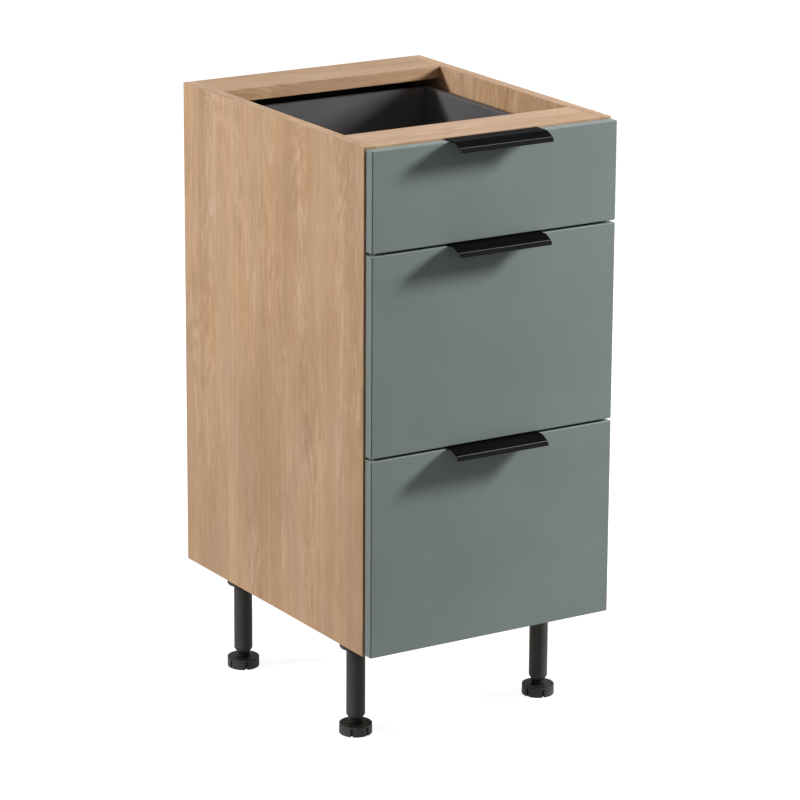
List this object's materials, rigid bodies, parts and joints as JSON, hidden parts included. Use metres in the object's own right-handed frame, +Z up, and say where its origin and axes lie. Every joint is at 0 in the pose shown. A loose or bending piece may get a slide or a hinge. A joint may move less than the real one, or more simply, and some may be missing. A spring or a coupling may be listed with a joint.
{
  "type": "drawer base cabinet",
  "caption": "Kitchen base cabinet in oak-effect board with lacquered drawer fronts, edge-pull handles, steel drawers on full-extension runners and adjustable legs.",
  "frame": {"origin": "on the floor, in the middle of the overall width and depth, handles included", "axes": "+X to the right as seen from the front, +Y from the fronts to the back, +Z up"},
  "size_m": [0.4, 0.545, 0.87],
  "materials": {
    "oak_board": "satin oak-effect melamine with fine straight grain",
    "sage_lacquer": "matt sage-green lacquer on board",
    "black_aluminium": "matt black anodised",
    "anthracite_steel": "fine-textured anthracite powder coat",
    "grey_board": "grey melamine",
    "dark_hardboard": "smooth dark hardboard",
    "zinc_steel": "bright zinc plate",
    "black_plastic": "fine moulded texture",
    "beech": "turned beech",
    "soft_pad": "translucent soft pad"
  },
  "bodies": {
    "carcass": {"left_side_panel": "oak_board", "right_side_panel": "oak_board", "bottom_panel": "oak_board", "front_top_rail": "oak_board", "rear_top_rail": "oak_board", "back_panel": "dark_hardboard", "cam_locks": "zinc_steel", "cam_bolts": "zinc_steel", "dowels": "beech", "carcass_screws": "zinc_steel", "bumpers": "soft_pad", "top_runner_cabinet_rails": "zinc_steel", "middle_runner_cabinet_rails": "zinc_steel", "bottom_runner_cabinet_rails": "zinc_steel", "leg_socket_front_left": "black_plastic", "leg_tube_front_left": "black_plastic", "leg_socket_front_right": "black_plastic", "leg_tube_front_right": "black_plastic", "leg_socket_back_left": "black_plastic", "leg_tube_back_left": "black_plastic", "leg_socket_back_right": "black_plastic", "leg_tube_back_right": "black_plastic"},
    "top_drawer": {"top_drawer_front": "sage_lacquer", "top_drawer_handle": "black_aluminium", "top_drawer_handle_screws": "zinc_steel", "top_drawer_side_left": "anthracite_steel", "top_drawer_side_right": "anthracite_steel", "top_drawer_base": "grey_board", "top_drawer_back": "anthracite_steel", "top_drawer_front_brackets": "zinc_steel", "top_drawer_front_screws": "zinc_steel", "top_runner_drawer_slides": "zinc_steel"},
    "top_runner_middle": {"top_runner_middle_slides": "zinc_steel"},
    "middle_drawer": {"middle_drawer_front": "sage_lacquer", "middle_drawer_handle": "black_aluminium", "middle_drawer_handle_screws": "zinc_steel", "middle_drawer_side_left": "anthracite_steel", "middle_drawer_side_right": "anthracite_steel", "middle_drawer_base": "grey_board", "middle_drawer_back": "anthracite_steel", "middle_drawer_front_brackets": "zinc_steel", "middle_drawer_front_screws": "zinc_steel", "middle_runner_drawer_slides": "zinc_steel"},
    "middle_runner_middle": {"middle_runner_middle_slides": "zinc_steel"},
    "bottom_drawer": {"bottom_drawer_front": "sage_lacquer", "bottom_drawer_handle": "black_aluminium", "bottom_drawer_handle_screws": "zinc_steel", "bottom_drawer_side_left": "anthracite_steel", "bottom_drawer_side_right": "anthracite_steel", "bottom_drawer_base": "grey_board", "bottom_drawer_back": "anthracite_steel", "bottom_drawer_front_brackets": "zinc_steel", "bottom_drawer_front_screws": "zinc_steel", "bottom_runner_drawer_slides": "zinc_steel"},
    "bottom_runner_middle": {"bottom_runner_middle_slides": "zinc_steel"},
    "foot_front_left": {"leg_foot_front_left": "black_plastic"},
    "foot_front_right": {"leg_foot_front_right": "black_plastic"},
    "foot_back_left": {"leg_foot_back_left": "black_plastic"},
    "foot_back_right": {"leg_foot_back_right": "black_plastic"}
  },
  "joints": [
    {"name": "top_drawer_slide", "type": "slide", "parent": "carcass", "child": "top_drawer", "axis": [0, -1, 0], "range_m": [0, 0.4]},
    {"name": "top_runner_slide", "type": "slide", "parent": "carcass", "child": "top_runner_middle", "axis": [0, -1, 0], "range_m": [0, 0.2]},
    {"name": "middle_drawer_slide", "type": "slide", "parent": "carcass", "child": "middle_drawer", "axis": [0, -1, 0], "range_m": [0, 0.4]},
    {"name": "middle_runner_slide", "type": "slide", "parent": "carcass", "child": "middle_runner_middle", "axis": [0, -1, 0], "range_m": [0, 0.2]},
    {"name": "bottom_drawer_slide", "type": "slide", "parent": "carcass", "child": "bottom_drawer", "axis": [0, -1, 0], "range_m": [0, 0.4]},
    {"name": "bottom_runner_slide", "type": "slide", "parent": "carcass", "child": "bottom_runner_middle", "axis": [0, -1, 0], "range_m": [0, 0.2]},
    {"name": "foot_front_left_height", "type": "slide", "parent": "carcass", "child": "foot_front_left", "axis": [0, 0, -1], "range_m": [-0.006, 0.02]},
    {"name": "foot_front_right_height", "type": "slide", "parent": "carcass", "child": "foot_front_right", "axis": [0, 0, -1], "range_m": [-0.006, 0.02]},
    {"name": "foot_back_left_height", "type": "slide", "parent": "carcass", "child": "foot_back_left", "axis": [0, 0, -1], "range_m": [-0.006, 0.02]},
    {"name": "foot_back_right_height", "type": "slide", "parent": "carcass", "child": "foot_back_right", "axis": [0, 0, -1], "range_m": [-0.006, 0.02]}
  ],
  "couplings": [
    {"joint": "top_runner_slide", "follows": "top_drawer_slide", "ratio": 0.5},
    {"joint": "middle_runner_slide", "follows": "middle_drawer_slide", "ratio": 0.5},
    {"joint": "bottom_runner_slide", "follows": "bottom_drawer_slide", "ratio": 0.5}
  ]
}
